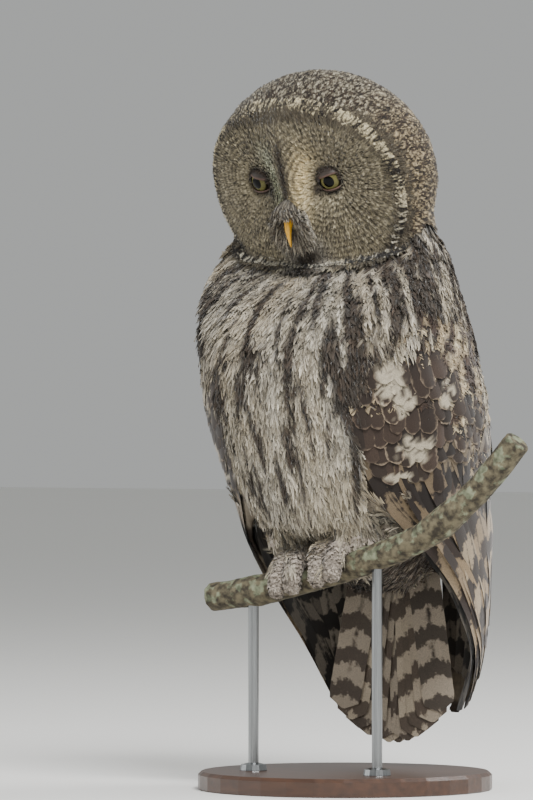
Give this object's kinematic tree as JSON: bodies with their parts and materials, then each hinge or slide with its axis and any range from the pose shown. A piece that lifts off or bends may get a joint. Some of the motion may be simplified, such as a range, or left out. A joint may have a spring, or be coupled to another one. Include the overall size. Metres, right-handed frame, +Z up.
{
  "type": "great grey owl model on a perch and stand",
  "caption": "Life-size still great grey owl gripping a cut branch, head turned down, on a round display base with rods.",
  "frame": {"origin": "Middle of the flat underside of the round stand base.", "axes": "+Z up, the owl faces -Y, +X is the owl's left side."},
  "size_m": [0.3405, 0.256, 0.624],
  "materials": {
    "plumage": "matte",
    "flight_feathers": "matte",
    "foot_down": "matte",
    "eye": "gloss",
    "bill_horn": "satin",
    "claw_horn": "satin",
    "bark": "matte",
    "base_wood": "satin",
    "rod_steel": "satin"
  },
  "bodies": {
    "root": {"head": "plumage", "neck": "plumage", "trunk": "plumage", "leg_left": "plumage", "leg_right": "plumage", "wing_left": "flight_feathers", "wing_right": "flight_feathers", "tail": "flight_feathers", "foot_left": "foot_down", "foot_right": "foot_down", "eye_left": "eye", "eye_right": "eye", "bill_upper": "bill_horn", "bill_lower": "bill_horn", "claw_left_front_inner": "claw_horn", "claw_left_front_outer": "claw_horn", "claw_left_back_inner": "claw_horn", "claw_left_back_outer": "claw_horn", "claw_right_front_inner": "claw_horn", "claw_right_front_outer": "claw_horn", "claw_right_back_inner": "claw_horn", "claw_right_back_outer": "claw_horn", "perch": "bark", "stand_base": "base_wood", "stand_rod_left": "rod_steel", "stand_rod_right": "rod_steel"}
  },
  "joints": []
}
